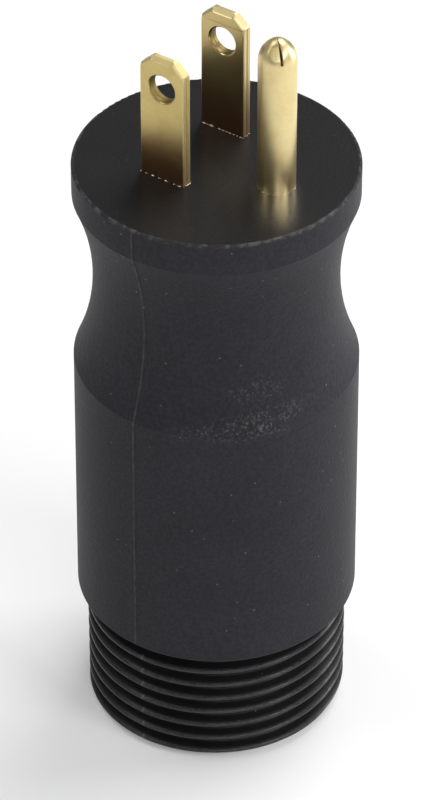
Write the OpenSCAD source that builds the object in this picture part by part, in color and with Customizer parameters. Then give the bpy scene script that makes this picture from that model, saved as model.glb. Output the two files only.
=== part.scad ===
// One-piece moulded power adapter: a flat-blade plug on top, a threaded
// locking socket at the foot, and the terminals and wires between them.
// Millimetres. Origin at the centre of the foot, +Z up to the blades,
// the ground pin on the -Y side and the two blades side by side along X.

/* [Overmould] */
// Height of the plug face above the foot
face_z = 84; // [82:0.5:90]
// Radius of the rim round the plug face
rim_r = 17.8; // [17.4:0.1:18.4]
// Radius of the narrowest part of the grip waist
waist_r = 15.4; // [15.2:0.05:16.2]
// Height of the narrowest part of the grip waist
waist_z = 67.5; // [66:0.5:69]
// Height of the crease where the waist meets the barrel
shoulder_z = 54.8; // [52:0.2:56]
// Radius of the barrel at the crease
barrel_r = 18; // [17.7:0.1:19]
// How much wider the barrel grows down to its lower edge
barrel_draft = 0.17; // [0:0.01:0.4]
// Height of the barrel's lower edge, where the thread starts
barrel_z = 18.1; // [17.8:0.1:18.6]
// Thickness of the soft skin over the inner core
skin = 3; // [2.6:0.1:3.4]
// Rounding of the lip round the plug face
lip_round = 0.3; // [0.1:0.05:0.8]
// Rounding of the barrel's lower edge
foot_round = 0.4; // [0.1:0.05:0.8]
// How far the parting line stands proud
flash_h = 0.06; // [0.04:0.01:0.2]
// Width of the parting line
flash_w = 0.25; // [0.2:0.05:0.6]

/* [Thread] */
// Step from the barrel in to the thread crests
thread_step = 1.1; // [0.9:0.05:1.3]
// Depth of the thread from its crests to its roots
thread_depth = 1.25; // [1:0.05:1.35]
// Pitch of the single-start right-hand thread
pitch = 2.31; // [2.1:0.01:2.5]
// Width of the flat on each crest
crest_flat = 0.35; // [0.2:0.05:0.5]
// Axial width of each thread flank
flank = 0.69; // [0.6:0.01:0.75]
// Height of the first crest's middle on the +X side
thread_start = -0.085; // [-0.5:0.005:0.5]
// Height at which the last crest's middle ends
thread_end = 17.2; // [16:0.1:17.2]
// Angle over which the last crest fades out
fade_arc = 75; // [45:5:120]

/* [Socket] */
// Thickness of the socket face
socket_wall = 4; // [3:0.25:5]
// Wall of the threaded shell inside the thread's roots
shell_wall = 1.45; // [1.3:0.05:1.7]
// Width of each curved slot
slot_w = 2.2; // [1.8:0.1:2.6]
// Angle of the line slot
line_arc = 50; // [44:1:54]
// Angle of the longer neutral slot
neutral_arc = 58; // [54:1:62]
// Angle of the ground slot
ground_arc = 50; // [44:1:54]
// Reach of the ground slot's hook towards the middle
hook_len = 2.6; // [2:0.1:2.9]
// Angle of the ground slot's hook
hook_arc = 11; // [8:1:14]
// Spare angle at each end of a contact pocket
pocket_spare = 2; // [1:0.5:3]
// Radius of the coring hole in the middle
coring_r = 5; // [4:0.25:5.5]
// Height of the underside of the threaded shell's flange
flange_z = 20; // [19.6:0.1:20.6]
// Thickness of the threaded shell's flange
flange_t = 3; // [2.5:0.1:3.5]
// Thickness of the soft skin over the threaded shell's flange
flange_skin = 1.4; // [1.2:0.1:1.8]
// Height of the socket block's head, which seats in the shell
head_h = 1.5; // [1:0.1:2]
// How far the socket block's head stands out
head_w = 0.75; // [0.5:0.05:0.8]

/* [Contact carrier] */
// Thickness of the carrier disc
carrier_t = 3; // [2.5:0.1:3.5]
// Depth of the middle peg into the coring hole
peg_len = 8; // [5:0.5:12]
// Angle of each hold-down peg
peg_arc = 8; // [6:1:10]

/* [Socket contacts] */
// Gap between a contact's two leaves
leaf_gap = 1.6; // [1.4:0.05:1.8]
// Thickness of each brass leaf
leaf_t = 0.8; // [0.6:0.05:0.9]
// Height of the leaves' lower ends above the pocket floor
leaf_lift = 0.5; // [0.3:0.1:0.9]
// Depth of the flared mouth of the leaves
flare_h = 1.5; // [1:0.1:2.5]
// Widening of the flared mouth on each side
flare_w = 0.45; // [0.2:0.05:0.5]
// Height of the contact's bridge, where the leaves join
contact_z = 18; // [17:0.2:18.4]
// Thickness of the contact's bridge
contact_t = 0.8; // [0.6:0.05:1]
// Thickness of the steel backing spring
spring_t = 0.4; // [0.3:0.05:0.5]
// Height of the backing spring's leaves
spring_h = 10; // [7:0.5:12]

/* [Plug blades] */
// Distance between the two blades' middles
blade_pitch = 12.7; // [12.4:0.1:13]
// Offset of the blades' middles from the body axis
blade_y = 3.08; // [2.8:0.02:3.4]
// Width of a blade
blade_w = 6.35; // [6:0.05:6.7]
// Thickness of a blade, folded from two plies
blade_t = 1.5; // [1.4:0.05:1.6]
// Length of a blade above the plug face
blade_len = 17.3; // [16:0.1:18]
// Height of the chamfers at the blade's tip
tip_h = 1.5; // [1:0.1:2.5]
// Width of the chamfers at the blade's tip
tip_w = 1.65; // [1:0.05:2.2]
// Radius of the hole through a blade
hole_r = 1.85; // [1.6:0.05:2.1]
// Height of the hole above the plug face
hole_z = 13.1; // [11:0.1:13.5]
// Depth and extra radius of the hole's countersinks
hole_sink = 0.15; // [0.1:0.05:0.4]
// Width of the seam between a blade's two plies
ply_w = 0.12; // [0.08:0.02:0.2]
// Depth of the seam between a blade's two plies
ply_depth = 0.3; // [0.1:0.05:0.5]
// Extra width of the blade's shoulder on each side
shoulder_w = 0.7; // [0.4:0.1:1.2]
// Height of the blade's shoulder
shoulder_h = 1.5; // [1:0.1:2]
// Width of the blade's tail
tail_w = 3.2; // [2.4:0.1:4]

/* [Ground pin] */
// Distance from the blades' line to the pin's axis
pin_offset = 11.89; // [11.6:0.01:12.1]
// Radius of the pin
pin_r = 2.38; // [2.2:0.01:2.5]
// Radius of the pin's shank below the plug face
shank_r = 2.2; // [2:0.05:2.3]
// Length of the pin above the plug face
pin_len = 21.1; // [20:0.1:22]
// Height of the pin's domed end
dome_h = 3; // [2.6:0.1:3.4]
// Radius of the very tip of the dome
dome_tip_r = 1.6; // [1.2:0.1:1.9]
// Radius of the hollow inside the rolled pin
pin_bore_r = 1.3; // [1:0.05:1.5]
// Thickness of the metal over the hollow's end
dome_wall = 2; // [1.6:0.1:2.2]
// Width of the slit in the dome
slit_w = 0.35; // [0.25:0.05:0.6]
// Depth of the slit below the pin's tip
slit_depth = 2.4; // [2.3:0.1:3]
// Direction that the slit faces, in degrees about the body axis
slit_azimuth = 227; // [0:1:359]
// Radius of the pin's collar
collar_r = 3.3; // [2.9:0.1:3.6]

/* [Blade carrier] */
// Radius of the blade carrier disc
bridge_r = 12.8; // [12.4:0.1:13]
// Height of the underside of the blade carrier
bridge_z = 75; // [74.5:0.1:76]
// Thickness of the blade carrier disc
bridge_t = 4.2; // [3.5:0.1:5]
// Height of the raised collars round the blades
rise_h = 1.3; // [0.8:0.1:1.6]
// Width of the raised collars round the blades
rise_w = 1.2; // [0.8:0.1:1.4]

/* [Wires] */
// Radius of a copper conductor
conductor_r = 0.95; // [0.8:0.05:1.05]
// Radius of a wire over its insulation
wire_r = 1.6; // [1.4:0.05:1.7]
// Wall of a crimp barrel
crimp_wall = 0.55; // [0.4:0.05:0.65]
// Length of a crimp barrel
crimp_len = 7; // [6:0.25:8]
// Solid end of a crimp barrel, where it joins its terminal
crimp_root = 1.2; // [1:0.1:1.6]
// Bare conductor between a crimp barrel and the insulation
strip_len = 1; // [0.6:0.1:2]
// Depth of the keying grooves round the inner core
groove_depth = 0.8; // [0.5:0.1:1]
// Width of the keying grooves round the inner core
groove_w = 2; // [1:0.25:3]
// Spacing of the keying grooves
groove_pitch = 6; // [5:0.5:7]
// Number of keying grooves
groove_count = 4; // [2:1:4]

/* [Fits] */
// Clearance between seated pieces
fit_gap = 0.05; // [0.03:0.01:0.08]

/* [Hidden] */
$fn = 96;
// Sides of the waist's large arc.
arc_sides = 360;

// Overlap of a cutting shape past the face that it cuts, the same in degrees past the ends
// of a sector, and the overlap of two outlines that meet.
past = 1;
past_arc = 1;
lap = 0.005;
// Turn of a slanting cylinder about its own axis, which keeps its seam off the side that leans over.
rod_turn = 50;
// Radius of the waist's arc, which meets the barrel at the crease.
waist_in = barrel_r - waist_r;
waist_arc = (pow(waist_z - shoulder_z, 2) + pow(waist_in, 2)) / (2 * waist_in);
// Radii of the drafted barrel at its lower edge and where its slope would reach the waist.
barrel_foot_r = barrel_r + barrel_draft;
barrel_end_r = barrel_r - barrel_draft * (waist_z - shoulder_z) / (shoulder_z - barrel_z);

// The nose's radii, drawn in one from another from the barrel.
crest_r = barrel_r - thread_step;
root_r = crest_r - thread_depth;
bore_r = root_r - shell_wall;
block_r = bore_r - fit_gap;
flange_r = barrel_r - flange_skin;
core_r = barrel_r - skin;
// The circle of the curved slots, whose backing springs reach out to the block's side.
slot_r = block_r - spring_t - fit_gap - leaf_t - leaf_gap / 2;

// Columns and lines of the thread's surface grid.
thread_cols = 60;
half_ridge = crest_flat / 2 + flank;
last_turn = (thread_end - thread_start) / pitch;
// Turns that lie wholly below the foot and wholly above the flange's underside.
first_turn = floor(-(thread_start + half_ridge) / pitch);
top_turn = ceil((flange_z + half_ridge - thread_start) / pitch);
// Heights of the four edges of one crest above and below its middle.
crest_edges = [-half_ridge, -crest_flat / 2, crest_flat / 2, half_ridge];
// Depth of the thread's own layer below its root, and how far that is bedded in the shell's wall.
layer = 0.35;
bed = 0.25;
wall_r = root_r - layer;

// The three circuits, each with the azimuth of its socket contact.
LINE = 150;
NEUTRAL = 30;
GROUND = 270;

flange_top = flange_z + flange_t;
carrier_top = flange_top + carrier_t;
bridge_top = bridge_z + bridge_t;
pin_y = blade_y - pin_offset;

// Radii of the contact's leaves, its backing spring and the pocket that holds them.
leaf_in = slot_r - leaf_gap / 2 - leaf_t;
leaf_out = slot_r + leaf_gap / 2 + leaf_t;
spring_in = leaf_in - fit_gap - spring_t;
spring_out = leaf_out + fit_gap + spring_t;
pocket_in = spring_in - fit_gap;
head_z = flange_top - head_h;
hook_in = slot_r - slot_w / 2 - hook_len;
leaf_z = socket_wall + leaf_lift;
spring_z = contact_z + contact_t + fit_gap;
spring_top = spring_z + spring_t;

crimp_bore_r = conductor_r + fit_gap;
crimp_r = crimp_bore_r + crimp_wall;
way_r = max(crimp_r, wire_r) + fit_gap;
tail_end = bridge_z - shoulder_h - crimp_root;

// Where each circuit's wire leaves its plug terminal and its socket contact.
function plug_end(az) = az == LINE ? [-blade_pitch / 2, blade_y, tail_end]
    : az == NEUTRAL ? [blade_pitch / 2, blade_y, tail_end]
    : [0, pin_y, tail_end];
function socket_end(az) = [slot_r * cos(az), slot_r * sin(az), contact_z + contact_t / 2];
function slot_arc(az) = az == LINE ? line_arc : az == NEUTRAL ? neutral_arc : ground_arc;
function wire_span(az) = norm(plug_end(az) - socket_end(az));

// A cylinder of height h along the line from p towards q, starting a distance off from p.
module rod(p, q, off, h, r) {
    d = q - p;
    translate(p) rotate([0, acos(d[2] / norm(d)), atan2(d[1], d[0])])
        translate([0, 0, off]) rotate([0, 0, rod_turn]) cylinder(h = h, r = r);
}

// A curved block between two radii and two heights, centred on azimuth az.
module sector(az, arc, r_in, r_out, low, high) {
    translate([0, 0, low]) rotate([0, 0, az - arc / 2])
        rotate_extrude(angle = arc) translate([r_in, 0]) square([r_out - r_in, high - low]);
}

// What a rounded edge of radius f takes off a body of radius r: up is 1 on a top edge, -1 on a lower one.
module edge_round(r, z, f, up) {
    translate([0, 0, z]) rotate_extrude() difference() {
        translate([r - f, up > 0 ? -f : -past]) square([f + past, f + past]);
        translate([r - f, -up * f]) circle(f);
    }
}

// The body's outer form, drawn in by inset all over its side.
module body_form(inset) {
    difference() {
        union() {
            translate([0, 0, barrel_z]) cylinder(h = waist_z - barrel_z,
                r1 = barrel_foot_r - inset, r2 = barrel_end_r - inset);
            translate([0, 0, waist_z]) cylinder(h = face_z - waist_z, r = rim_r - inset);
        }
        translate([0, 0, waist_z]) rotate_extrude()
            translate([waist_r + waist_arc, 0]) circle(waist_arc + inset, $fn = arc_sides);
    }
}

// The inner core's outside, larger by grow, with its keying grooves.
module premould_form(grow) {
    difference() {
        intersection() {
            body_form(skin - grow);
            translate([0, 0, carrier_top]) cylinder(h = bridge_z - carrier_top, r = barrel_r);
        }
        for (i = [1:groove_count])
            translate([0, 0, carrier_top + i * groove_pitch + grow]) difference() {
                cylinder(h = groove_w - 2 * grow, r = barrel_r);
                translate([0, 0, -past])
                    cylinder(h = groove_w + 2 * past, r = core_r - groove_depth + grow);
            }
    }
}

// The blade carrier's outside, larger by grow.
module bridge_form(grow) {
    translate([0, 0, bridge_z]) cylinder(h = bridge_t + grow, r = bridge_r + grow);
    for (side = [-1, 1])
        translate([side * blade_pitch / 2, blade_y, bridge_top + (rise_h + grow) / 2]) cube(
            [blade_t + 2 * (rise_w + grow), blade_w + 2 * (rise_w + grow), rise_h + grow],
            center = true);
    translate([0, pin_y, bridge_top]) cylinder(h = rise_h + grow, r = pin_r + rise_w + grow);
}

// The way that the blades and the pin take through the carrier and the plug face.
module prong_ways() {
    h = face_z + past - bridge_z + past;
    for (side = [-1, 1])
        translate([side * blade_pitch / 2, blade_y, bridge_z - past + h / 2])
            cube([blade_t + 2 * fit_gap, blade_w + 2 * fit_gap, h], center = true);
    translate([0, pin_y, bridge_z - past]) cylinder(h = h, r = shank_r + fit_gap);
}

// The parts of a terminal that lie in the inner core, larger by grow.
module blade_root(side, grow) {
    x = side * blade_pitch / 2;
    translate([x, blade_y, bridge_z - shoulder_h / 2]) cube(
        [blade_t + 2 * grow, blade_w + 2 * (shoulder_w + grow), shoulder_h + 2 * grow],
        center = true);
    translate([x - blade_t / 2 - grow, blade_y - tail_w / 2 - grow, tail_end - crimp_root / 2 - grow])
        cube([blade_t + 2 * grow, tail_w + 2 * grow, shoulder_h + crimp_root]);
}

module pin_root(grow) {
    translate([0, pin_y, bridge_z - shoulder_h - grow])
        cylinder(h = shoulder_h + grow, r = collar_r + grow);
    translate([0, pin_y, tail_end - crimp_root / 2 - grow])
        cylinder(h = shoulder_h + crimp_root, r = crimp_r + grow);
}

// A crimp barrel round the wire's end, with its conductor hole.
module crimp(p, q) {
    difference() {
        rod(p, q, 0, crimp_len, crimp_r);
        rod(p, q, crimp_root, crimp_len, crimp_bore_r);
    }
}

// Radius of the thread's surface at turn t, a height s from the nearest crest's middle.
function thread_rise(t) = (crest_r - root_r) * min(1, max(0, (last_turn - t) * 360 / fade_arc));
function crest_share(s) = min(1, max(0, (half_ridge - abs(s)) / flank));
function crest_z(t) = thread_start + pitch * t;
// One corner of the grid: crest n, edge k of that crest, column c. Edges below the foot
// or above the flange are held at those planes, so that the thread is cut off square.
function thread_point(n, k, c) =
    let(u = c / thread_cols, a = 360 * (c % thread_cols) / thread_cols,
        free_z = crest_z(n + u) + crest_edges[k], z = min(flange_z, max(0, free_z)),
        near = free_z < 0 ? floor(0.5 - crest_z(u) / pitch) : n, s = z - crest_z(near + u),
        r = root_r + thread_rise(near + u) * crest_share(s))
    [r * cos(a), r * sin(a), z];

// The thread as one closed sleeve: every column runs up the outside and is closed inside the wall.
module thread_sleeve() {
    lines = 4 * (top_turn - first_turn);
    loop = lines + 2;
    points = [for (c = [0:thread_cols]) let(a = 360 * (c % thread_cols) / thread_cols,
            x = (wall_r - bed) * cos(a), y = (wall_r - bed) * sin(a))
        each concat([[x, y, 0]],
            [for (j = [0:lines - 1]) thread_point(first_turn + floor(j / 4), j % 4, c)],
            [[x, y, flange_z]])];
    faces = [for (c = [0:thread_cols - 1], j = [0:loop - 1])
        let(k = (j + 1) % loop, p = c * loop + j, q = c * loop + k)
        each [[p, q, q + loop], [p, q + loop, p + loop]]];
    polyhedron(points, faces);
}

// The curved slot and the pocket behind it for one contact, open on the block's side.
module contact_way(az) {
    arc = slot_arc(az);
    sector(az, arc, slot_r - slot_w / 2, slot_r + slot_w / 2, -past, socket_wall + past);
    sector(az, arc + 2 * pocket_spare, az == GROUND ? hook_in : pocket_in,
        block_r + head_w + past, socket_wall, flange_top + past);
    if (az == GROUND)
        sector(az - arc / 2 + hook_arc / 2, hook_arc, hook_in, slot_r, -past, socket_wall + past);
}

// Two curved leaves that grip a locking blade, joined by a bridge that carries the crimp.
module contact(az) {
    arc = slot_arc(az);
    mouth = leaf_gap / 2 + flare_w;
    difference() {
        sector(az, arc, leaf_in, leaf_out, leaf_z, contact_z + contact_t);
        sector(az, arc + 2 * past_arc, leaf_in + leaf_t, leaf_out - leaf_t, leaf_z - past, contact_z);
        translate([0, 0, leaf_z]) rotate_extrude() polygon([
            [slot_r - mouth, -past], [slot_r - mouth, 0],
            [slot_r, mouth * flare_h / flare_w],
            [slot_r + mouth, 0], [slot_r + mouth, -past]]);
    }
    crimp(socket_end(az), plug_end(az));
}

// A steel clip astride the contact, which presses its leaves together.
module contact_spring(az) {
    arc = slot_arc(az);
    difference() {
        sector(az, arc, spring_in, spring_out, spring_top - spring_h, spring_top);
        sector(az, arc + 2 * past_arc, spring_in + spring_t, spring_out - spring_t,
            spring_top - spring_h - past, spring_z);
        rod(socket_end(az), plug_end(az), 0, crimp_len, crimp_r + fit_gap);
    }
}

// A blade folded from two plies, with its hole, shoulder, tail and crimp.
module blade(side, az) {
    tip_z = face_z + blade_len;
    x = side * blade_pitch / 2;
    difference() {
        intersection() {
            translate([x - blade_t / 2, blade_y, 0]) rotate([90, 0, 90])
                linear_extrude(blade_t) polygon([[-blade_w / 2, bridge_z - past / 2],
                    [blade_w / 2, bridge_z - past / 2], [blade_w / 2, tip_z - tip_h],
                    [blade_w / 2 - tip_w, tip_z], [tip_w - blade_w / 2, tip_z],
                    [-blade_w / 2, tip_z - tip_h]]);
            union() {
                translate([x - blade_t / 2, blade_y - blade_w, bridge_z - past / 2])
                    cube([blade_t, 2 * blade_w, tip_z - blade_t / 2 - bridge_z + past / 2]);
                translate([x, blade_y + blade_w, tip_z - blade_t / 2]) rotate([90, 0, 0])
                    cylinder(h = 2 * blade_w, r = blade_t / 2);
            }
        }
        translate([x, blade_y, face_z + hole_z]) rotate([0, 90, 0]) {
            cylinder(h = blade_t + 2 * past, r = hole_r, center = true);
            for (end = [-1, 1]) translate([0, 0, end * blade_t / 2]) cylinder(h = 2 * hole_sink,
                r1 = hole_r + (1 - end) * hole_sink, r2 = hole_r + (1 + end) * hole_sink,
                center = true);
        }
        for (edge = [-1, 1])
            translate([x, blade_y + edge * blade_w / 2, (bridge_top + tip_z - tip_h) / 2]) cube(
                [ply_w, 2 * ply_depth, tip_z - tip_h - bridge_top], center = true);
    }
    blade_root(side, 0);
    crimp(plug_end(az), socket_end(az));
}

// Half outline of the pin's domed end: a flank arc that runs into a smaller tip arc.
module dome_outline() {
    flank_r = (pow(pin_r, 2) + pow(dome_h - dome_tip_r, 2) - pow(dome_tip_r, 2))
        / (2 * (pin_r - dome_tip_r));
    meet_z = flank_r * (dome_h - dome_tip_r) / (flank_r - dome_tip_r);
    intersection() {
        translate([pin_r - flank_r, 0]) circle(flank_r);
        square([pin_r + past, meet_z]);
    }
    intersection() {
        translate([0, dome_h - dome_tip_r]) circle(dome_tip_r);
        translate([0, meet_z - lap]) square([pin_r + past, dome_h]);
    }
}

module body_overmould() {
    color("#2c2d31") difference() {
        union() {
            difference() {
                body_form(0);
                edge_round(rim_r, face_z, lip_round, 1);
                edge_round(barrel_foot_r, barrel_z, foot_round, -1);
            }
            intersection() {
                body_form(-flash_h);
                translate([0, 0, (face_z + barrel_z) / 2]) cube([2 * (barrel_r + past), flash_w,
                    face_z - barrel_z - 2 * max(lip_round, foot_round)], center = true);
            }
        }
        translate([0, 0, barrel_z - past]) cylinder(h = flange_z - barrel_z + 2 * past,
            r = root_r + fit_gap);
        translate([0, 0, flange_z - fit_gap])
            cylinder(h = flange_t + fit_gap, r = flange_r + fit_gap);
        translate([0, 0, flange_top]) cylinder(h = carrier_t, r = core_r + fit_gap);
        premould_form(fit_gap);
        bridge_form(fit_gap);
        prong_ways();
    }
}

// The hard shell that carries the outside thread, bored for the socket block and its head.
module threaded_shell() {
    color("#1b1c1e") difference() {
        union() {
            cylinder(h = flange_top, r = wall_r);
            translate([0, 0, flange_z]) cylinder(h = flange_t, r = flange_r);
            thread_sleeve();
        }
        translate([0, 0, -past]) cylinder(h = flange_top + 2 * past, r = bore_r);
        translate([0, 0, head_z - fit_gap])
            cylinder(h = head_h + fit_gap + past, r = bore_r + head_w);
    }
}

// The insulating block with the locking slots in its face and the contact pockets behind them.
module socket_block() {
    color("#232427") difference() {
        union() {
            cylinder(h = flange_top, r = block_r);
            translate([0, 0, head_z]) cylinder(h = head_h, r = block_r + head_w);
        }
        for (az = [LINE, NEUTRAL, GROUND]) contact_way(az);
        translate([0, 0, socket_wall]) cylinder(h = flange_top, r = coring_r);
    }
}

module contact_carrier() {
    color("#6c5f50") difference() {
        union() {
            translate([0, 0, flange_top]) cylinder(h = carrier_t, r = core_r);
            translate([0, 0, flange_top - peg_len])
                cylinder(h = peg_len + past, r = coring_r - fit_gap);
            for (az = [LINE, NEUTRAL, GROUND], end = [-1, 1])
                sector(az + end * (slot_arc(az) - peg_arc) / 2, peg_arc, spring_in, spring_out,
                    spring_top, flange_top + past);
        }
        for (az = [LINE, NEUTRAL, GROUND])
            rod(socket_end(az), plug_end(az), 0, wire_span(az), way_r);
    }
}

module inner_premould() {
    color("#4b4d52") difference() {
        premould_form(0);
        for (az = [LINE, NEUTRAL, GROUND])
            rod(socket_end(az), plug_end(az), 0, wire_span(az) + fit_gap, way_r);
        for (side = [-1, 1]) blade_root(side, fit_gap);
        pin_root(fit_gap);
    }
}

module blade_carrier() {
    color("#8a8378") difference() {
        bridge_form(0);
        prong_ways();
    }
}

module blade_line() {
    color("#c8a45c") blade(-1, LINE);
}

module blade_neutral() {
    color("#c8a45c") blade(1, NEUTRAL);
}

// The pin rolled hollow from brass sheet, with its slit dome, collar and crimp.
module ground_pin() {
    straight = pin_len - dome_h;
    color("#c8a45c") {
        difference() {
            translate([0, pin_y, face_z]) rotate_extrude() {
                translate([0, bridge_z - face_z - past / 2])
                    square([shank_r, face_z - bridge_z + past]);
                translate([0, fit_gap]) square([pin_r, straight - fit_gap + lap]);
                translate([0, straight]) dome_outline();
            }
            translate([0, pin_y, bridge_z])
                cylinder(h = face_z - bridge_z + pin_len - dome_wall, r = pin_bore_r);
            translate([0, pin_y, face_z + pin_len - slit_depth]) rotate([0, 0, slit_azimuth])
                translate([-slit_w / 2, -slit_w / 2, 0]) cube([2 * pin_r, slit_w, slit_depth + past]);
        }
        pin_root(0);
        crimp(plug_end(GROUND), socket_end(GROUND));
    }
}

module contact_line() {
    color("#c9a24e") contact(LINE);
}

module contact_neutral() {
    color("#c9a24e") contact(NEUTRAL);
}

module contact_ground() {
    color("#c9a24e") contact(GROUND);
}

module contact_spring_line() {
    color("#b9bcc0") contact_spring(LINE);
}

module contact_spring_neutral() {
    color("#b9bcc0") contact_spring(NEUTRAL);
}

module contact_spring_ground() {
    color("#b9bcc0") contact_spring(GROUND);
}

// The insulation, which stops short of the crimp at each end.
module wire(az) {
    bare = crimp_len + strip_len;
    difference() {
        rod(plug_end(az), socket_end(az), bare, wire_span(az) - 2 * bare, wire_r);
        rod(plug_end(az), socket_end(az), 0, wire_span(az), conductor_r + fit_gap);
    }
}

// The copper, which runs into the crimp at each end.
module conductor(az) {
    inside = crimp_root + fit_gap;
    rod(plug_end(az), socket_end(az), inside, wire_span(az) - 2 * inside, conductor_r);
}

module wire_line() {
    color("#202124") wire(LINE);
}

module wire_neutral() {
    color("#e8e6df") wire(NEUTRAL);
}

module wire_ground() {
    color("#2f7d46") wire(GROUND);
}

module conductor_line() {
    color("#b86f3c") conductor(LINE);
}

module conductor_neutral() {
    color("#b86f3c") conductor(NEUTRAL);
}

module conductor_ground() {
    color("#b86f3c") conductor(GROUND);
}

body_overmould();
threaded_shell();
socket_block();
contact_carrier();
inner_premould();
blade_carrier();
blade_line();
blade_neutral();
ground_pin();
contact_line();
contact_neutral();
contact_ground();
contact_spring_line();
contact_spring_neutral();
contact_spring_ground();
wire_line();
wire_neutral();
wire_ground();
conductor_line();
conductor_neutral();
conductor_ground();
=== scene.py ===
"""Moulded shore power adapter: two folded brass blades and a rolled ground pin on a waisted
charcoal grip, which stands on a hard threaded nose. Metres, +Z up, ground pin on the -Y side."""

import math
from functools import reduce
import bmesh
import bpy
from mathutils import Matrix, Vector, noise


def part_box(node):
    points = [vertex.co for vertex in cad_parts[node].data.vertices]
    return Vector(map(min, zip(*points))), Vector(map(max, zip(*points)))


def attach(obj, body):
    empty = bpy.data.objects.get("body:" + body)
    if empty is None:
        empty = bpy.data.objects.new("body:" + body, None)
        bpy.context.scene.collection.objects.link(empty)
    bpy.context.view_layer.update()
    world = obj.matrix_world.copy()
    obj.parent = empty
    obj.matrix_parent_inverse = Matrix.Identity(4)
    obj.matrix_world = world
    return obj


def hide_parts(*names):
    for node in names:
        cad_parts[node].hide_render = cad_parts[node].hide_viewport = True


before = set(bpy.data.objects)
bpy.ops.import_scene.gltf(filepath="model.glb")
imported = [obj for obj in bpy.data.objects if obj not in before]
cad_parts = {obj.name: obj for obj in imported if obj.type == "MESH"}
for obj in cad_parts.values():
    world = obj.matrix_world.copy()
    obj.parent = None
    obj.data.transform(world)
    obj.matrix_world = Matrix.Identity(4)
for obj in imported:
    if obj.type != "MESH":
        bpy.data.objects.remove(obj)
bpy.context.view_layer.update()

MM = 0.001

# Heights and radii that the CAD parts give.
GRIP_LOW, GRIP_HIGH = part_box("body_overmould")
BLADE_LOW, BLADE_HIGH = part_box("blade_line")
PIN_LOW, PIN_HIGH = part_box("ground_pin")
NOSE_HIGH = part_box("threaded_shell")[1]
FACE_Z = GRIP_HIGH.z
BARREL_Z = GRIP_LOW.z
BARREL_R = GRIP_HIGH.y
BLADE_Y = (BLADE_LOW.y + BLADE_HIGH.y) / 2
PIN_Y = (PIN_LOW.y + PIN_HIGH.y) / 2

# The soft grip. Scuffs lie along its crease, each as azimuth, height, size and strength. The plug
# face is rubbed smooth in one direction from the pin.
RIM_R = 17.8 * MM
SCUFFS = ((234, 56.0 * MM, 3.6 * MM, 1.0), (224, 55.7 * MM, 3.0 * MM, 0.9),
          (245, 56.8 * MM, 2.6 * MM, 0.9), (212, 55.4 * MM, 2.2 * MM, 0.6),
          (202, 55.0 * MM, 1.8 * MM, 0.4), (233, 60.5 * MM, 3.8 * MM, 0.55))
RUBBED_AZIMUTH = math.radians(215)

# Plug blades, each folded from one strip. The groove shows where the two plies meet.
BLADE_X = 12.7 * MM / 2
BLADE_W = 6.35 * MM
BLADE_T = 1.5 * MM
BLADE_FOOT = 2 * MM
TIP_H = 1.5 * MM
TIP_W = 1.65 * MM
CORNER_ROUND = 0.18 * MM
EDGE_ROUND = 0.18 * MM
TOP_BEVEL = 0.5 * MM
GROOVE_DEPTH = 0.22 * MM
GROOVE_LIP = 0.22 * MM
GROOVE_SIDE = 0.1 * MM
GROOVE_FLOOR = 0.03 * MM
FOLD_DROP = 1.75 * MM
HOLE_R = 1.85 * MM
HOLE_Z = 13.1 * MM
HOLE_SINK = 0.15 * MM

# Ground pin, rolled hollow from sheet. Its dome is slit, and beaten flat beside the slit. The
# painted dark spots on the dome stand for dark reflections; each is azimuth and radius from the
# body's axis, and drop below the pin's tip.
PIN_R = 2.38 * MM
PIN_FOOT = 3 * MM
PIN_BORE_R = 1.3 * MM
PIN_ROOF = 2 * MM
DOME_H = 3 * MM
DOME_TIP_R = 1.6 * MM
SLIT_AZIMUTH = math.radians(227)
SLIT_W = 0.36 * MM
SLIT_TOP_W = 0.06 * MM
SLIT_LEAN = -0.12 * MM
SLIT_DEPTH = 2.4 * MM
FLAT_AZIMUTH = math.radians(206)
FLAT_ELEVATION = math.radians(36)
FLAT_DEPTH = 1.85 * MM
FLAT_CENTRE = 2.1 * MM
LIP_RISE = 0.1 * MM
LIP_W = 0.7 * MM
DOME_SHADE_SPOTS = ((277, 9.97 * MM, 0.95 * MM), (260, 7.45 * MM, 1.4 * MM))

# Threaded nose. The crest spots are heights from the middle of a crest.
CREST_R = NOSE_HIGH.x
ROOT_R = 15.65 * MM
PITCH = 2.31 * MM
CREST_FLAT = 0.35 * MM
CREST_SOFTNESS = 0.09 * MM
CREST_SPOTS = [spot * MM for spot in (0.05, 0.13, 0.2, 0.27, 0.36, 0.55, 0.76, 0.87, 0.95, 1.05)]
FLANK = 0.69 * MM
THREAD_START = -0.085 * MM
THREAD_END = 17.2 * MM
FADE_TURNS = 75 / 360
FLANGE_Z = 20 * MM
FLANGE_R = 16.6 * MM
BORE_R = 14.2 * MM
SEAT_R = 14.95 * MM
SEAT_Z = 21.45 * MM

# The studio. Lamps are name, azimuth, elevation, distance, width, height and power.
CAMERA_PLACE = (-0.35506, -0.24714, 0.39109)
CAMERA_AIM = (0.64167, 0.44747, -0.62292)
CAMERA_LENS = 195.67
LAMPS = (
    ("key_softbox", 356, 56, 1.3, 0.8, 0.8, 11.6),
    ("side_softbox", 268, 38, 1.1, 0.36, 0.36, 4.2),
    ("front_softbox", 228, 38, 1.2, 0.7, 0.26, 4.0),
    ("left_softbox", 144, 40, 1.0, 0.24, 0.24, 0.7),
    ("right_softbox", 318, 15, 1.0, 0.3, 0.5, 5.0),
    ("overhead_softbox", 100, 62, 1.1, 0.6, 0.5, 1.9),
)
LAMP_AIM = Vector((0, 0, 0.05))
ROOM_LIGHT = 0.24
FLOOR_R = 2.4
FLOOR_BEND = 0.6
FLOOR_WALL = 0.8
FLOOR_GLOW = 0.15


# ---------------------------------------------------------------- meshes

def placed(name, data):
    """A new object in the scene."""
    obj = bpy.data.objects.new(name, data)
    bpy.context.scene.collection.objects.link(obj)
    return obj


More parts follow.
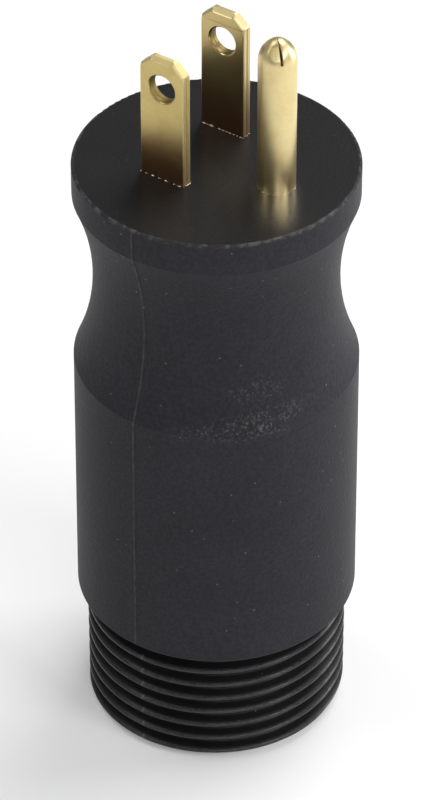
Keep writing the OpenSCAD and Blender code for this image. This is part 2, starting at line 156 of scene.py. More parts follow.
def mesh_of(name, points, faces):
    """A mesh of those points and faces."""
    mesh = bpy.data.meshes.new(name)
    mesh.from_pydata([tuple(p) for p in points], [], faces)
    mesh.validate()
    return mesh


def piece(name, mesh, slot, finish, *replaced):
    """A piece of the part. Its slot is not used. It may stand for CAD nodes."""
    obj = placed(name, mesh)
    obj.data.materials.append(finish)
    if replaced:
        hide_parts(*replaced)
    return obj


def clean(mesh, weld=1e-7):
    """Joins points that coincide, drops empty faces and turns the others outwards."""
    shape = bmesh.new()
    shape.from_mesh(mesh)
    bmesh.ops.remove_doubles(shape, verts=shape.verts, dist=weld)
    bmesh.ops.dissolve_degenerate(shape, dist=weld, edges=shape.edges)
    bmesh.ops.recalc_face_normals(shape, faces=shape.faces)
    shape.to_mesh(mesh)
    shape.free()


def settle(obj, sharp_degrees=35):
    """Cleans the mesh, smooths its shading and lets the piece ride on the body."""
    clean(obj.data)
    obj.data.shade_smooth()
    obj.data.set_sharp_from_angle(angle=math.radians(sharp_degrees))
    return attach(obj, "root")


def ring_faces(rings, around):
    """Quads between closed rings that follow one another, each with so many points."""
    return [
        (r * around + i, r * around + (i + 1) % around,
         (r + 1) * around + (i + 1) % around, (r + 1) * around + i)
        for r in range(rings - 1) for i in range(around)
    ]


def lathe(outline, around, middle):
    """Points and faces of a closed turned body whose outline runs from the axis to the axis."""
    points = []
    for radius, height in outline[1:-1]:
        for i in range(around):
            angle = 2 * math.pi * i / around
            points.append((middle[0] + radius * math.cos(angle),
                           middle[1] + radius * math.sin(angle), height))
    rings = len(outline) - 2
    faces = ring_faces(rings, around)
    low, high = len(points), len(points) + 1
    points += [(*middle, outline[0][1]), (*middle, outline[-1][1])]
    top = (rings - 1) * around
    faces += [(low, (i + 1) % around, i) for i in range(around)]
    faces += [(high, top + i, top + (i + 1) % around) for i in range(around)]
    return points, faces


def cut(obj, *cutters):
    """Takes each cutter's solid out of the piece."""
    for points, faces in cutters:
        tool = placed("cutter", mesh_of("cutter", points, faces))
        clean(tool.data)
        step = obj.modifiers.new("cut", "BOOLEAN")
        step.operation = "DIFFERENCE"
        step.solver = "MANIFOLD"
        step.object = tool
        bpy.context.view_layer.update()
        result = bpy.data.meshes.new_from_object(
            obj.evaluated_get(bpy.context.evaluated_depsgraph_get()))
        obj.modifiers.clear()
        obj.data = result
        bpy.data.objects.remove(tool)


def within(value):
    """The value kept between 0 and 1."""
    return min(1, max(0, value))


def towards(azimuth, elevation=0.0):
    """The unit vector that points that way, with both angles in radians."""
    return Vector((math.cos(azimuth) * math.cos(elevation),
                   math.sin(azimuth) * math.cos(elevation), math.sin(elevation)))


# ---------------------------------------------------------------- shader arithmetic

class Value:
    """A shader value that adds, multiplies and compares as a number does."""

    def __init__(self, finish, socket):
        self.finish = finish
        self.socket = socket

    def _math(self, operation, *values):
        return self.finish.node("ShaderNodeMath", {"operation": operation}, dict(enumerate(values)))

    def __add__(self, other):
        return self._math("ADD", self, other)

    def __sub__(self, other):
        return self._math("SUBTRACT", self, other)

    def __rsub__(self, other):
        return self._math("SUBTRACT", other, self)

    def __mul__(self, other):
        return self._math("MULTIPLY", self, other)

    def __abs__(self):
        return self._math("ABSOLUTE", self)

    def larger(self, other):
        """The larger of the two."""
        return self._math("MAXIMUM", self, other)

    def above(self, edge, blur):
        """0 below the edge and 1 above it, blurred over so much."""
        return self.finish.node("ShaderNodeMapRange", {"interpolation_type": "SMOOTHSTEP"},
                                {0: self, 1: edge - blur / 2, 2: edge + blur / 2})

    def below(self, edge, blur):
        """1 below the edge and 0 above it, blurred over so much."""
        return 1 - self.above(edge, blur)

    __radd__ = __add__
    __rmul__ = __mul__


class Finish:
    """One material, built from nodes, whose parts are named for what they do."""

    def __init__(self, name):
        self.material = bpy.data.materials.new(name)
        self.material.use_nodes = True
        self.tree = self.material.node_tree
        self.tree.nodes.clear()
        self.place = self.node("ShaderNodeTexCoord", {}, {}, "Object")

    def node(self, kind, settings, inputs, output=0):
        """One node: its settings are set first, then the values or links of its sockets."""
        made = self.tree.nodes.new(kind)
        for key, setting in settings.items():
            setattr(made, key, setting)
        for key, given in inputs.items():
            if isinstance(given, Value):
                self.tree.links.new(given.socket, made.inputs[key])
            else:
                made.inputs[key].default_value = given
        return Value(self, made.outputs[output]) if made.outputs else None

    def along(self, axis):
        """The place along one axis, in metres."""
        return self.node("ShaderNodeSeparateXYZ", {}, {0: self.place}, axis)

    def distance(self, spot, weights):
        """Distance from a spot, in metres, in which each axis counts by its weight."""
        weighed = self.node("ShaderNodeVectorMath", {"operation": "MULTIPLY"},
                            {0: self.place, 1: weights})
        aim = tuple(s * w for s, w in zip(spot, weights))
        return self.node("ShaderNodeVectorMath", {"operation": "DISTANCE"}, {0: weighed, 1: aim}, 1)

    def reach(self):
        """Distance from the body's axis, in metres."""
        return self.distance((0, 0, 0), (1, 1, 0))

    def near(self, azimuth, radius, height, size, blur, flatten=1.0):
        """1 close to a spot on the body and 0 further off. Flatten squeezes the spot in height."""
        spot = towards(math.radians(azimuth)) * radius
        return self.distance((spot.x, spot.y, height), (1, 1, flatten)).below(size, blur)

    def cloud(self, size, detail=3.0, roughness=0.5, stretch=(1, 1, 1), offset=(0, 0, 0)):
        """Soft random blotches of about that size, from 0 to 1."""
        where = self.node("ShaderNodeMapping", {}, {0: self.place, 1: offset, 3: stretch})
        return self.node("ShaderNodeTexNoise", {}, {
            "Vector": where, "Scale": 1 / size, "Detail": detail, "Roughness": roughness})

    def cells(self, size):
        """Distance to the nearest of many scattered points, in shares of their spacing."""
        return self.node("ShaderNodeTexVoronoi", {}, {"Vector": self.place, "Scale": 1 / size})

    def blend(self, share, first, second):
        """The first colour where share is 0 and the second where it is 1."""
        return self.node("ShaderNodeMix", {"data_type": "RGBA"},
                         {0: share, 6: first, 7: second}, 2)

    def layered(self, base, *layers):
        """The base colour with other colours laid over it in turn, each by its share."""
        for share, colour in layers:
            base = self.blend(share, base, colour)
        return base

    def relief(self, height, depth, under=None):
        """A bump of that height, in metres, on top of another one."""
        inputs = {"Height": height, "Distance": depth}
        if under:
            inputs["Normal"] = under
        return self.node("ShaderNodeBump", {}, inputs)

    def skin(self, **sockets):
        """The surface itself. Spaces in socket names are written as underscores."""
        self.cover(self.node("ShaderNodeBsdfPrincipled", {},
                             {key.replace("_", " "): given for key, given in sockets.items()}))

    def cover(self, surface):
        """Makes that shader the material's surface."""
        self.node("ShaderNodeOutputMaterial", {}, {"Surface": surface})


def tinted(tone, shares=(1, 1, 1)):
    """A colour whose red, green and blue are those shares of the tone's."""
    return (*(level * share for level, share in zip(tone, shares)), 1)


def grey(level, tint=(1, 1, 1)):
    """A grey of that level, a little tinted."""
    return tinted((level, level, level), tint)


# ---------------------------------------------------------------- finishes

def charcoal_overmould():
    """Matt flexible moulding: fine grain, faint cloudiness, a parting line, scuffs with painted
    glints, dust, a paler lip, a painted highlight on the lower edge, painted shade on the plug face,
    and a patch of the plug face that is rubbed smooth in front of the pin."""
    f = Finish("charcoal_overmould")
    height = f.along("Z")
    across = f.along("Y")
    face = height.above(FACE_Z - 0.06 * MM, 0.05 * MM)

    grain = f.cloud(0.16 * MM, 2.0)
    pebble = f.cloud(0.6 * MM, 4.0, 0.65)
    haze = f.cloud(9 * MM, 4.0, 0.6)
    streak = f.cloud(5 * MM, 3.0, 0.6, (1, 1, 0.18)).above(0.5, 0.5)
    pale_pores = f.cells(0.5 * MM).below(0.2, 0.2)
    dark_pores = f.cloud(0.5 * MM, 3.0, 0.7).above(0.5, 0.25)
    dust = f.cells(1.5 * MM).below(0.08, 0.03) * f.cloud(5 * MM).above(0.52, 0.05)
    dashes = f.cloud(1.1 * MM, 4.0, 0.7, (1, 1, 1), (0.3, 0.1, 0.2)).above(0.5, 0.3)
    seam = abs(across).below(0.16 * MM, 0.08 * MM) * (1 - face) * (0.3 + dashes)
    lip = (f.reach().above(RIM_R - 0.42 * MM, 0.15 * MM)
           * height.above(FACE_Z - 0.3 * MM, 0.15 * MM)
           * (0.15 + f.cloud(1.1 * MM, 3.0, 0.7).above(0.55, 0.2)))
    # Painted highlight: a paler, ragged line along the barrel's lower edge, on its +X half only,
    # where light catches it.
    painted_edge_highlight = (height.below(BARREL_Z + 0.4 * MM, 0.3 * MM)
                  * f.along("X").above(-4 * MM, 8 * MM)
                  * f.cloud(2.5 * MM, 3.0, 0.6).above(0.45, 0.3))
    crease = reduce(Value.larger, (
        f.near(azimuth, BARREL_R, level, size, size * 1.3, 2.0) * strength
        for azimuth, level, size, strength in SCUFFS))
    # Scuffed patches along the crease. Their pale specks are partly scuffing and partly painted
    # glints.
    scuffs_and_painted_glints = f.cloud(0.42 * MM, 4.0, 0.8).above(0.57, 0.06) * crease

    base = f.layered(
        f.blend(haze, grey(0.014, (1, 0.98, 1.2)), grey(0.027, (1, 0.98, 1.2))),
        (streak * 0.3, grey(0.021, (1, 1, 1.22))),
        (pale_pores * 0.25, grey(0.03, (1, 1, 1.06))),
        (dark_pores * 0.35, grey(0.004, (1, 1, 1.2))),
        # Painted shade: the plug face is the same moulding, painted a much darker grey than the
        # grip's sides.
        (face, f.blend(haze, grey(0.003, (1, 1, 1.1)), grey(0.0065, (1, 1, 1.15)))),
        (seam * 0.35, grey(0.08)),
        (lip * 0.45, grey(0.1)),
        # scuffs with painted glints
        (scuffs_and_painted_glints * 0.7, grey(0.11)),
        # painted highlight on the lower edge
        (painted_edge_highlight * 0.5, grey(0.07)),
        (dust * (0.4 - face * 0.3), grey(0.2)))
    bump = f.relief(grain, 0.02 * MM)
    bump = f.relief(pebble, 0.07 * MM, bump)
    bump = f.relief(f.cloud(0.8 * MM, 3.0, 0.6) * crease, 0.12 * MM, bump)

    way = towards(RUBBED_AZIMUTH)
    from_pin = across - PIN_Y
    ahead = f.along("X") * way.x + from_pin * way.y
    beside = abs(f.along("X") * -way.y + from_pin * way.x)
    rubbed = (beside.below(2.2 * MM, 2.6 * MM) * ahead.above(0, 3 * MM)
              * ahead.below(6.5 * MM, 8 * MM))
    f.skin(Base_Color=base, Roughness=0.56 + grain * 0.1 - face * 0.1, Normal=bump, IOR=1.46,
           Specular_IOR_Level=0.17, Coat_Weight=face * (0.03 + 0.75 * rubbed), Coat_IOR=2.8,
           Coat_Roughness=0.22, Sheen_Weight=0.05, Sheen_Roughness=0.3)
    return f.material


def hard_black():
    """Harder, smoother black moulding of the nose, glossier on its crests and painted paler there as
    a painted highlight.
    """
    f = Finish("hard_black_nose")
    reach = f.reach()
    grain = f.cloud(0.25 * MM, 3.0)
    haze = f.cloud(4 * MM, 4.0, 0.6)
    drag = f.cloud(1.6 * MM, 3.0, 0.7, (1, 1, 5))
    # Painted highlight: the crests are painted paler. The same mask also makes them glossier.
    crest = (reach.above(CREST_R - 0.3 * MM, 0.4 * MM)
             * f.cloud(0.5 * MM, 3.0, 0.7, (1, 1, 3)).above(0.4, 0.4))
    tick = (abs(f.along("Y")).below(0.16 * MM, 0.1 * MM)
            * reach.above(CREST_R - 0.35 * MM, 0.2 * MM))
    speck = f.cells(1.3 * MM).below(0.07, 0.03) * f.cloud(4 * MM).above(0.6, 0.05)
    base = f.layered(
        f.blend(haze, grey(0.004, (1, 1, 1.1)), grey(0.007, (1, 1, 1.1))),
        (crest * 0.8, grey(0.04, (1, 1, 1.06))),
        (tick * 0.6, grey(0.09)),
        (speck * 0.4, grey(0.2)))
    bump = f.relief(grain, 0.012 * MM)
    bump = f.relief(drag, 0.012 * MM, bump)
    f.skin(Base_Color=base, Roughness=0.26 + grain * 0.16, Normal=bump, IOR=1.5,
           Specular_IOR_Level=0.12, Coat_Weight=crest * 0.3, Coat_Roughness=0.18)
    return f.material


def cut_edges(f):
    """1 on the narrow faces of a blade: its sides, its cropped corners and its top."""
    height = f.along("Z")
    from_middle = abs(f.along("Y") - BLADE_Y)
    slope = math.hypot(TIP_H, TIP_W)
    past_corner = ((from_middle - BLADE_W / 2) * (TIP_H / slope)
                   + (height - (BLADE_HIGH.z - TIP_H)) * (TIP_W / slope))
    sides = from_middle.above(BLADE_W / 2 - 0.12 * MM, 0.1 * MM)
    corners = past_corner.above(-0.35 * MM, 0.1 * MM)
    top = height.above(BLADE_HIGH.z - 0.45 * MM, 0.1 * MM)
    clear_of_pin = f.along("Y").above(PIN_Y + PIN_R + MM, MM)
    return sides.larger(corners).larger(top) * clear_of_pin


def fold_line(f):
    """1 on a thin mark across the neutral blade, where its strip was folded over."""
    return (abs(f.along("Z") - (BLADE_HIGH.z - FOLD_DROP)).below(0.1 * MM, 0.1 * MM)
            * f.along("X").above(3 * MM, MM) * f.along("Y").below(BLADE_Y + 2.2 * MM, MM))


def bright_brass(name, tone, rough, foot_shade, dullness=0.0):
    """Rolled brass strip: fine rolling lines, painted shade that browns it towards the foot, paler
    and rougher cut edges, painted shade on the hole walls, and two painted dark spots on the pin's
    dome."""
    f = Finish(name)
    height = f.along("Z")
    lines = f.cloud(0.9 * MM, 2.0, 0.5, (1, 1, 0.12))
    stain = f.cloud(2.2 * MM, 4.0, 0.65)
    mottle = f.cloud(1.4 * MM, 2.0, 0.4)
    # Painted shade: browner and darker towards the plug face, standing for the dark face that the
    # brass reflects there.
    foot = height.below(FACE_Z + 5.5 * MM, 7 * MM) * height.above(FACE_Z - 1 * MM, 1 * MM)
    # Painted shade: two dark spots on the dome that stand for dark reflections.
    painted_dome_shade = [f.near(azimuth, radius, PIN_HIGH.z - drop, 0.65 * MM, 0.6 * MM)
                   for azimuth, radius, drop in DOME_SHADE_SPOTS]
    edge = cut_edges(f)
    # Painted shade: the walls of the blade holes are painted much darker.
    shaded_hole_wall = f.distance((0, BLADE_Y, FACE_Z + HOLE_Z), (0, 1, 1)).below(
        HOLE_R + 0.04 * MM, 0.04 * MM)
    base = f.layered(
        tinted(tone),
        (stain.above(0.55, 0.3) * 0.4, tinted(tone, (0.86, 0.74, 0.6))),
        (foot * (0.45 + stain * 0.5) * foot_shade, tinted(tone, (0.66, 0.4, 0.45))),
        (fold_line(f) * 0.4, (0.2, 0.14, 0.05, 1)),
        *((dark * 0.7, tinted(tone, (0.3, 0.25, 0.2))) for dark in painted_dome_shade),
        (edge * 0.5, tinted(tone, (1.25, 1.33, 1.75))),
        (shaded_hole_wall * 0.88, tinted(tone, (0.26, 0.23, 0.2))))
    bump = f.relief(lines, 0.001 * MM)
    bump = f.relief(mottle, 0.004 * MM, bump)
    f.skin(Base_Color=base, Metallic=1 - dullness, Normal=bump,
           Roughness=rough + lines * 0.04 + stain * 0.05 + edge * 0.2 + shaded_hole_wall * 0.25)
    return f.material


def spring_steel():
    """Plated spring steel with drawing lines."""
    f = Finish("plated_spring_steel")
    lines = f.cloud(0.4 * MM, 3.0, 0.6, (1, 1, 0.1))
    base = f.blend(lines, (0.50, 0.51, 0.52, 1), (0.66, 0.66, 0.66, 1))
    f.skin(Base_Color=base, Roughness=0.28 + lines * 0.15, Metallic=1.0,
           Normal=f.relief(lines, 0.01 * MM))
    return f.material


def inner_plastic(name, colour, rough=0.45):
    """Plain moulded inner piece, with faint flow marks."""
    f = Finish(name)
    flow = f.cloud(3 * MM, 4.0, 0.6)
    grain = f.cloud(0.3 * MM)
    base = f.blend(flow, tinted(colour, (0.8, 0.8, 0.8)), tinted(colour))
    f.skin(Base_Color=base, Roughness=rough + grain * 0.1, Normal=f.relief(grain, 0.01 * MM))
    return f.material


def stranded_copper():
    """Bare copper conductor, with its strands in the relief."""
    f = Finish("stranded_copper")
    strands = f.cloud(0.3 * MM, 2.0, 0.5, (1, 1, 0.1))
    base = f.blend(strands, (0.42, 0.16, 0.07, 1), (0.72, 0.33, 0.17, 1))
    f.skin(Base_Color=base, Roughness=0.3 + strands * 0.15, Metallic=1.0,
           Normal=f.relief(strands, 0.05 * MM))
    return f.material


def scraped_flash():
    """Pale slivers of moulding and brass rubbed up where the metal leaves the plug face."""
    f = Finish("scraped_flash")
    mix = f.cloud(0.3 * MM, 3.0)
    base = f.blend(mix.above(0.5, 0.1), (0.34, 0.24, 0.17, 1), (0.85, 0.74, 0.62, 1))
    f.skin(Base_Color=base, Roughness=0.35 + mix * 0.2, Metallic=mix.above(0.45, 0.1),
           Normal=f.relief(mix, 0.03 * MM))
    return f.material


# ---------------------------------------------------------------- pieces

def blade_outline():
    """Outline of a blade across its width, as (y, z) points with the corners a little rounded."""
    half = BLADE_W / 2
    top = BLADE_HIGH.z
    low = FACE_Z - BLADE_FOOT
    corners = [(-half, low), (half, low), (half, top - TIP_H), (half - TIP_W, top),
               (TIP_W - half, top), (-half, top - TIP_H)]
    steps = 5
    points = []
    for i, corner in enumerate(corners):
        here = Vector(corner)
        before = Vector(corners[i - 1])
        after = Vector(corners[(i + 1) % len(corners)])
        direction = (after - here).normalized()
        start = here + (before - here).normalized() * CORNER_ROUND
        end = here + direction * CORNER_ROUND
        for k in range(steps + 1):
            t = k / steps
            points.append((1 - t) ** 2 * start + 2 * t * (1 - t) * here + t * t * end)
        length = (after - here).length - 2 * CORNER_ROUND
        count = max(2, round(length / (0.5 * MM)))
        points += [end + direction * length * k / count for k in range(1, count)]
    return points


def blade_profile(width, flat, seam):
    """Edge of a blade as (inset, depth) from one flat side to the other. Flat turns the rounded
    edge into a coined bevel. Seam is 1 where the edge shows the groove between the two plies."""
    half = BLADE_T / 2
    steps = 5
    edge = [(width + 0.1 * MM, half)]
    for k in range(steps + 1):
        t = k / steps
        angle = math.pi / 2 * t
        round_spot = Vector((width * (1 - math.sin(angle)), half - width * (1 - math.cos(angle))))
        edge.append(tuple(round_spot.lerp(Vector((width * (1 - t), half - width * t)), flat)))
    edge += [(0, GROOVE_LIP), (GROOVE_FLOOR * seam, GROOVE_SIDE),
             (GROOVE_DEPTH * seam, GROOVE_FLOOR)]
    return edge + [(inset, -depth) for inset, depth in reversed(edge)]


def mirrored(half_rings):
    """The rings from one side of a blade to the other, with the last of them in the middle."""
    return half_rings + [(-side, radius) for side, radius in reversed(half_rings[:-1])]


def folded_blade(name, x_mid, node, finish):
    """A blade of two plies folded over at the tip, with a countersunk hole."""
    outline = blade_outline()
    count = len(outline)
    top = BLADE_HIGH.z
    inward = []
    for i in range(count):
        along = (outline[(i + 1) % count] - outline[i - 1]).normalized()
        inward.append(Vector((-along.y, along.x)))
    profiles = []
    for spot in outline:
        on_top = within((spot.y - (top - 0.15 * MM)) / (0.12 * MM))
        on_side = within((top - TIP_H - 0.1 * MM - spot.y) / (0.3 * MM))
        width = (EDGE_ROUND + (TOP_BEVEL - EDGE_ROUND) * on_top
                 + 0.1 * MM * (1 - on_side) * (1 - on_top))
        profiles.append(blade_profile(width, 0.85 * (1 - on_side), on_side))
    shape = bmesh.new()

    def vertex(side, flat):
        return shape.verts.new((x_mid + side, BLADE_Y + flat.x, flat.y))

    grid = [[vertex(profiles[i][k][1], outline[i] + inward[i] * profiles[i][k][0])
             for i in range(count)] for k in range(len(profiles[0]))]
    half = BLADE_T / 2
    hole_points = 48
    centre = Vector((0, FACE_Z + HOLE_Z))
    hole_rings = mirrored([
        (half, HOLE_R + HOLE_SINK + 0.15 * MM), (half, HOLE_R + HOLE_SINK + 0.05 * MM),
        (half - 0.02 * MM, HOLE_R + HOLE_SINK), (half - HOLE_SINK, HOLE_R + 0.02 * MM),
        (half - HOLE_SINK - 0.08 * MM, HOLE_R), (0.05 * MM, HOLE_R), (0, HOLE_R + 0.06 * MM)])
    holes = [[vertex(side, centre + Vector((math.cos(a), math.sin(a))) * radius)
              for a in (2 * math.pi * i / hole_points for i in range(hole_points))]
             for side, radius in hole_rings]
    for rows, around in ((grid, count), (holes, hole_points)):
        for k in range(len(rows) - 1):
            for i in range(around):
                j = (i + 1) % around
                shape.faces.new((rows[k][i], rows[k][j], rows[k + 1][j], rows[k + 1][i]))
    for rim, hole in ((grid[0], holes[0]), (grid[-1], holes[-1])):
        edges = [shape.edges.get((vert, loop[(i + 1) % len(loop)]))
                 for loop in (rim, hole) for i, vert in enumerate(loop)]
        bmesh.ops.triangle_fill(shape, edges=edges, use_beauty=True)
    mesh = bpy.data.meshes.new(name)
    shape.to_mesh(mesh)
    shape.free()
    blade = piece(name, mesh, "blade_brass", finish, node)
    settle(blade, 28)
    for side in blade.data.polygons:
        side.use_smooth = abs(side.normal.x) < 0.9999


def pin_outline():
    """Half outline of the pin from its foot to its tip: straight, then two arcs that run together."""
    flank_r = ((PIN_R ** 2 + (DOME_H - DOME_TIP_R) ** 2 - DOME_TIP_R ** 2)
               / (2 * (PIN_R - DOME_TIP_R)))
    meet = math.atan2(DOME_H - DOME_TIP_R, flank_r - PIN_R)
    low = FACE_Z - PIN_FOOT
    spring = PIN_HIGH.z - DOME_H
    straight_steps = 40
    arc_steps = 14
    outline = [(0, low)]
    outline += [(PIN_R, low + (spring - low) * k / straight_steps) for k in range(straight_steps)]
    for k in range(arc_steps):
        angle = meet * k / arc_steps
        outline.append((PIN_R - flank_r + flank_r * math.cos(angle),
                        spring + flank_r * math.sin(angle)))
    for k in range(arc_steps):
        angle = meet + (math.pi / 2 - meet) * k / arc_steps
        outline.append((DOME_TIP_R * math.cos(angle),
                        PIN_HIGH.z - DOME_TIP_R + DOME_TIP_R * math.sin(angle)))
    return outline + [(0, PIN_HIGH.z)]


def hammered(points):
    """Beats a soft flat into the dome beside the slit and raises the rolled lip on its other side."""
    centre = Vector((0, PIN_Y, PIN_HIGH.z - FLAT_CENTRE))
    facing = towards(FLAT_AZIMUTH, FLAT_ELEVATION)
    ahead = towards(SLIT_AZIMUTH)
    across = Vector((-ahead.y, ahead.x, 0))
    beaten = []
    for point in points:
        spot = Vector(point)
        if spot.z > PIN_HIGH.z - DOME_H:
            proud = (spot - centre).dot(facing) - FLAT_DEPTH
            if proud > 0:
                spot -= facing * proud * 0.9
            beside = (spot - centre).dot(across) / LIP_W
            if (spot - centre).dot(ahead) > 0.3 * MM and 0 < beside < 1:
                outward = Vector((spot.x, spot.y - PIN_Y, 0)).normalized()
                drop = PIN_HIGH.z - spot.z
                fade = min(1, drop / MM) * min(1, (DOME_H - drop) / MM)
                spot += outward * LIP_RISE * math.sin(math.pi * beside) * fade
        beaten.append(spot)
    return beaten


def rolled_pin(finish):
    """The ground pin: a rolled tube with a slit, hammered dome."""
    axis = (0, PIN_Y)
    points, faces = lathe(pin_outline(), 96, axis)
    mesh = mesh_of("ground_pin_rolled", hammered(points), faces)
    pin = piece("ground_pin_rolled", mesh, "blade_brass", finish, "ground_pin")
    clean(pin.data)
    turn = Matrix.Rotation(SLIT_AZIMUTH, 3, "Z")
    slit_ends = ((PIN_HIGH.z - SLIT_DEPTH, SLIT_W, 0), (PIN_HIGH.z + MM, SLIT_TOP_W, SLIT_LEAN))
    corners = [Vector((0, PIN_Y, 0)) + turn @ Vector((x, side * width / 2 + lean, z))
               for x in (-SLIT_W / 2, 2 * PIN_R) for side in (-1, 1)
               for z, width, lean in slit_ends]
    slab = [(0, 1, 3, 2), (4, 6, 7, 5), (0, 4, 5, 1), (2, 3, 7, 6), (0, 2, 6, 4), (1, 5, 7, 3)]
    roof = PIN_HIGH.z - PIN_ROOF
    hollow = [(0, FACE_Z), (PIN_BORE_R, FACE_Z), (PIN_BORE_R, roof), (0, roof)]
    cut(pin, (corners, slab), lathe(hollow, 32, axis))
    settle(pin, 40)


def thread_radius(turn, height):
    """Radius of the threaded nose at a turn and a height above the nearest crest."""
    turns_left = (THREAD_END - THREAD_START) / PITCH - turn
    rise = (CREST_R - ROOT_R) * within(turns_left / FADE_TURNS)
    offsets = [share * CREST_SOFTNESS for share in (-1, -0.5, 0, 0.5, 1)]
    heights = [within((CREST_FLAT / 2 + FLANK - abs(height + offset)) / FLANK)
               for offset in offsets]
    return ROOT_R + rise * sum(heights) / len(heights)


def threaded_nose(finish):
    """The hard nose: a helical thread cut off square at the foot, round a stepped bore."""
    around = 180
    spots = [-spot for spot in reversed(CREST_SPOTS)] + CREST_SPOTS
    turns = math.ceil((FLANGE_Z - THREAD_START) / PITCH) + 2
    top = NOSE_HIGH.z
    points = []
    for i in range(around + 1):
        share = i / around
        angle = 2 * math.pi * (i % around) / around
        column = [(BORE_R, 0.0)]
        for turn in range(-1, turns):
            for spot in spots:
                z = min(FLANGE_Z, max(0.0, THREAD_START + PITCH * (turn + share) + spot))
                nearest = round((z - THREAD_START) / PITCH - share) + share
                column.append((thread_radius(nearest, z - THREAD_START - PITCH * nearest), z))
        column += [(FLANGE_R, FLANGE_Z), (FLANGE_R, top), (SEAT_R, top), (SEAT_R, SEAT_Z),
                   (BORE_R, SEAT_Z)]
        points += [(r * math.cos(angle), r * math.sin(angle), z) for r, z in column]
    faces = ring_faces(around + 1, len(points) // (around + 1))
    mesh = mesh_of("threaded_nose", points, faces)
    settle(piece("threaded_nose", mesh, "hard_housing", finish, "threaded_shell"), 38)


def ragged_flash(name, path, finish, seed, size):
    """Separate small ragged nubs along a path on the plug face, with bare gaps between them."""
    sides = 6
    points, faces = [], []
    for i, (spot, outward) in enumerate(path):
        bare = (noise.noise(Vector((i * 0.23, seed, 3.0)))
                + 0.6 * noise.noise(Vector((i * 1.7, seed, 5.0))))
        if bare < -0.05:
            continue
        scale = size * (0.3 + 2.0 * abs(noise.noise(Vector((i * 0.9, seed, 0)))))
        aside = Vector((-outward.y, outward.x, 0))
        middle = Vector((spot.x, spot.y, FACE_Z)) + outward * scale * 0.3
        tip = len(points)
        points.append(middle + Vector((0, 0, scale * 0.9)))
        for level, reach in ((0.55, 0.75), (-0.4, 1.0)):
            for k in range(sides):
                angle = 2 * math.pi * k / sides
                jag = 1 + 0.5 * noise.noise(Vector((i * 2.3, k * 1.9 + level, seed)))
                flat = outward * math.cos(angle) + aside * math.sin(angle) * 1.2
                points.append(middle + flat * scale * reach * jag + Vector((0, 0, scale * level)))
        upper = [tip + 1 + k for k in range(sides)]
        lower = [point + sides for point in upper]
        for k in range(sides):
            j = (k + 1) % sides
            faces.append((tip, upper[k], upper[j]))
            faces.append((upper[k], lower[k], lower[j], upper[j]))
        faces.append(tuple(reversed(lower)))
    settle(piece(name, mesh_of(name, points, faces), "blade_brass", finish), 60)


def blade_flash(name, x_mid, finish, seed):
    """Flash round the foot of a blade."""
    half_w, half_t = BLADE_W / 2, BLADE_T / 2
    corners = [(-half_t, -half_w), (-half_t, half_w), (half_t, half_w), (half_t, -half_w)]
    path = []
    for i, corner in enumerate(corners):
        start, end = Vector(corner), Vector(corners[(i + 1) % 4])
        along = (end - start).normalized()
        outward = Vector((-along.y, along.x, 0))
        count = round((end - start).length / (0.11 * MM))
        for k in range(count):
            spot = start + (end - start) * k / count
            path.append((Vector((x_mid + spot.x, BLADE_Y + spot.y, 0)), outward))
    ragged_flash(name, path, finish, seed, 0.1 * MM)


def pin_flash(name, finish, seed):
    """Flash round the foot of the pin."""
    count = 110
    outwards = [towards(-2 * math.pi * i / count) for i in range(count)]
    path = [(Vector((0, PIN_Y, 0)) + outward * PIN_R, outward) for outward in outwards]
    ragged_flash(name, path, finish, seed, 0.07 * MM)


# ---------------------------------------------------------------- camera, light and floor

def look_along(obj, direction):
    """Turns a camera or a lamp to face that way."""
    obj.rotation_euler = Vector(direction).to_track_quat("-Z", "Y").to_euler()


def camera():
    """The view on the part: from above, on the ground pin's side, through a long lens."""
    data = bpy.data.cameras.new("camera")
    data.sensor_width = 36
    data.lens = CAMERA_LENS
    data.clip_end = 20
    obj = placed("camera", data)
    obj.location = CAMERA_PLACE
    look_along(obj, CAMERA_AIM)
    bpy.context.scene.camera = obj


def softbox(name, azimuth, elevation, distance, width, height, power):
    """A large soft lamp in that direction from the part, aimed at its middle."""
    data = bpy.data.lights.new(name, "AREA")
    data.shape = "RECTANGLE"
    data.size = width
    data.size_y = height
    data.energy = power
    obj = placed(name, data)
    obj.location = towards(math.radians(azimuth), math.radians(elevation)) * distance
    look_along(obj, LAMP_AIM - obj.location)


def studio():
    """Plain soft studio light: an even room, a broad lamp from behind and smaller ones round it."""
    world = bpy.data.worlds.new("studio")
    bpy.context.scene.world = world
    world.use_nodes = True
    room = world.node_tree.nodes["Background"]
    room.inputs["Color"].default_value = grey(1.0)
    room.inputs["Strength"].default_value = ROOM_LIGHT
    for lamp in LAMPS:
        softbox(*lamp)


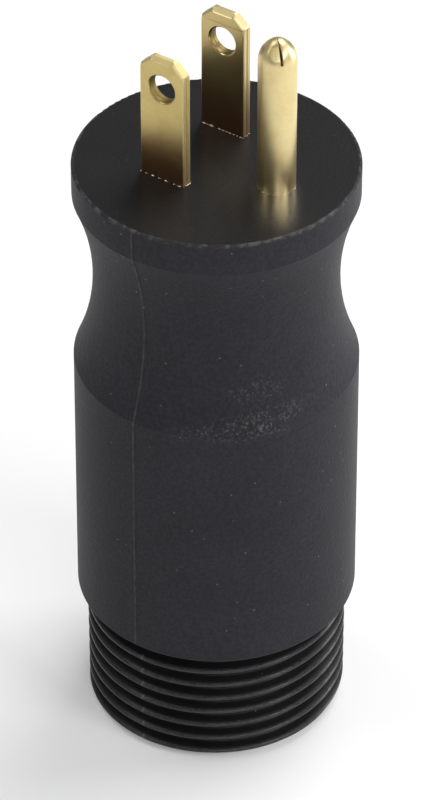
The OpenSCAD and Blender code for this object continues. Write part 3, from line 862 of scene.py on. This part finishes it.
def floor():
    """A round pale sweep: flat under the part, and curved up into a low wall far behind it."""
    around = 96
    bend_steps = 8
    outline = [(FLOOR_R, 0.0)]
    for k in range(1, bend_steps + 1):
        angle = math.pi / 2 * k / bend_steps
        outline.append((FLOOR_R + FLOOR_BEND * math.sin(angle), FLOOR_BEND * (1 - math.cos(angle))))
    outline.append((FLOOR_R + FLOOR_BEND, FLOOR_WALL))
    points = [(r * math.cos(a), r * math.sin(a), z) for r, z in outline
              for a in (2 * math.pi * i / around for i in range(around))]
    faces = ring_faces(len(outline), around) + [tuple(range(around))]
    obj = placed("floor", mesh_of("floor", points, faces))
    f = Finish("pale_sweep")
    seen = sum(f.node("ShaderNodeLightPath", {}, {}, ray)
               for ray in ("Is Camera Ray", "Is Glossy Ray", "Is Transmission Ray"))
    matt = f.node("ShaderNodeBsdfDiffuse", {}, {"Color": grey(0.8)})
    glow = f.node("ShaderNodeEmission", {}, {"Color": grey(1.0), "Strength": 1.0})
    f.cover(f.node("ShaderNodeMixShader", {}, {0: seen * FLOOR_GLOW, 1: matt, 2: glow}))
    obj.data.materials.append(f.material)


def dress_cad_nodes(finishes):
    """Gives each CAD node that stays its own finish."""
    for node, finish in finishes.items():
        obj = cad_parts[node]
        obj.data.materials.clear()
        obj.data.materials.append(finish)


camera()
studio()
floor()

charcoal = charcoal_overmould()
black = hard_black()
# One brass, painted darker on the blades and paler on the pin: painted shade and light for the darker
# and brighter floor that each reflects.
line_brass_painted_dark = bright_brass("line_blade_brass", (0.57, 0.46, 0.19), 0.29, 1.1)
neutral_brass_painted_dark = bright_brass("neutral_blade_brass", (0.54, 0.43, 0.19), 0.17, 1.2)
pin_brass_painted_pale = bright_brass("rolled_pin_brass", (0.74, 0.62, 0.32), 0.29, 0.15, 0.05)
contact_brass = bright_brass("stamped_contact_brass", (0.72, 0.50, 0.20), 0.34, 0.5)
steel = spring_steel()
copper = stranded_copper()
brown = inner_plastic("brown_insulator", (0.15, 0.12, 0.09))
core = inner_plastic("grey_inner_core", (0.07, 0.075, 0.085))
flash = scraped_flash()
jackets = {"line": (0.02, 0.02, 0.02), "neutral": (0.75, 0.73, 0.68), "ground": (0.03, 0.20, 0.06)}

dress_cad_nodes({
    "body_overmould": charcoal, "contact_carrier": brown, "blade_carrier": brown,
    "inner_premould": core, "socket_block": black,
})
for circuit, colour in jackets.items():
    dress_cad_nodes({
        f"contact_{circuit}": contact_brass,
        f"contact_spring_{circuit}": steel,
        f"conductor_{circuit}": copper,
        f"wire_{circuit}": inner_plastic(f"{circuit}_jacket", colour),
    })

folded_blade("blade_line_folded", -BLADE_X, "blade_line", line_brass_painted_dark)
folded_blade("blade_neutral_folded", BLADE_X, "blade_neutral", neutral_brass_painted_dark)
rolled_pin(pin_brass_painted_pale)
threaded_nose(black)
blade_flash("flash_line_blade", -BLADE_X, flash, 3.0)
blade_flash("flash_neutral_blade", BLADE_X, flash, 11.0)
pin_flash("flash_ground_pin", flash, 23.0)

bpy.context.scene.view_settings.view_transform = "Standard"
